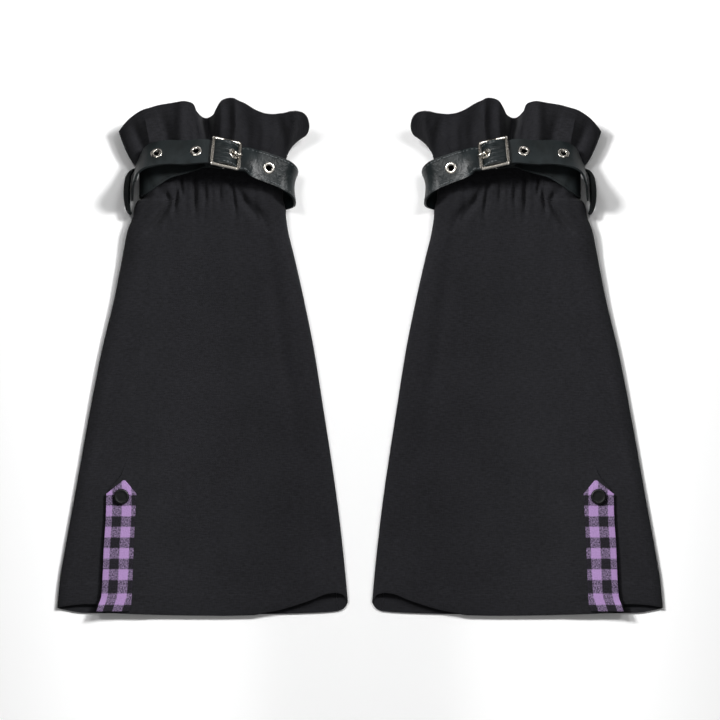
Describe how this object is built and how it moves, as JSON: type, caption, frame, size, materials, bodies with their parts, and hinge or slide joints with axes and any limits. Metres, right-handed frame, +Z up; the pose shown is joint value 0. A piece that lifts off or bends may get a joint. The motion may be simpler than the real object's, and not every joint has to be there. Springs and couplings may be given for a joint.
{
  "type": "pair of leg warmers",
  "caption": "Pair of flared cloth leg warmers laid flat, each with a ruffled top, a buckled belt round the neck and a checked side tab.",
  "frame": {"origin": "middle of the pair on the surface it lies on", "axes": "+X across the pair, +Y along the legs towards the ruffles, +Z up from the surface"},
  "size_m": [0.5086, 0.4345, 0.0437],
  "materials": {
    "black_cotton": "matte woven twill with slubs",
    "black_leather": "semi-gloss coated faux leather",
    "nickel": "polished nickel plate",
    "purple_gingham": "matte brushed cotton, purple and black gingham",
    "black_button": "satin"
  },
  "bodies": {
    "root": {"left_front_panel": "black_cotton", "left_back_panel": "black_cotton", "left_neck_casing": "black_cotton", "left_ruffle": "black_cotton", "left_tab": "purple_gingham", "left_button": "black_button", "left_strap": "black_leather", "left_belt_loop": "black_leather", "left_buckle_frame": "nickel", "left_buckle_prong": "nickel", "left_eyelet_1": "nickel", "left_eyelet_2": "nickel", "left_eyelet_3": "nickel", "left_eyelet_4": "nickel", "right_front_panel": "black_cotton", "right_back_panel": "black_cotton", "right_neck_casing": "black_cotton", "right_ruffle": "black_cotton", "right_tab": "purple_gingham", "right_button": "black_button", "right_strap": "black_leather", "right_belt_loop": "black_leather", "right_buckle_frame": "nickel", "right_buckle_prong": "nickel", "right_eyelet_1": "nickel", "right_eyelet_2": "nickel", "right_eyelet_3": "nickel", "right_eyelet_4": "nickel"}
  },
  "joints": []
}
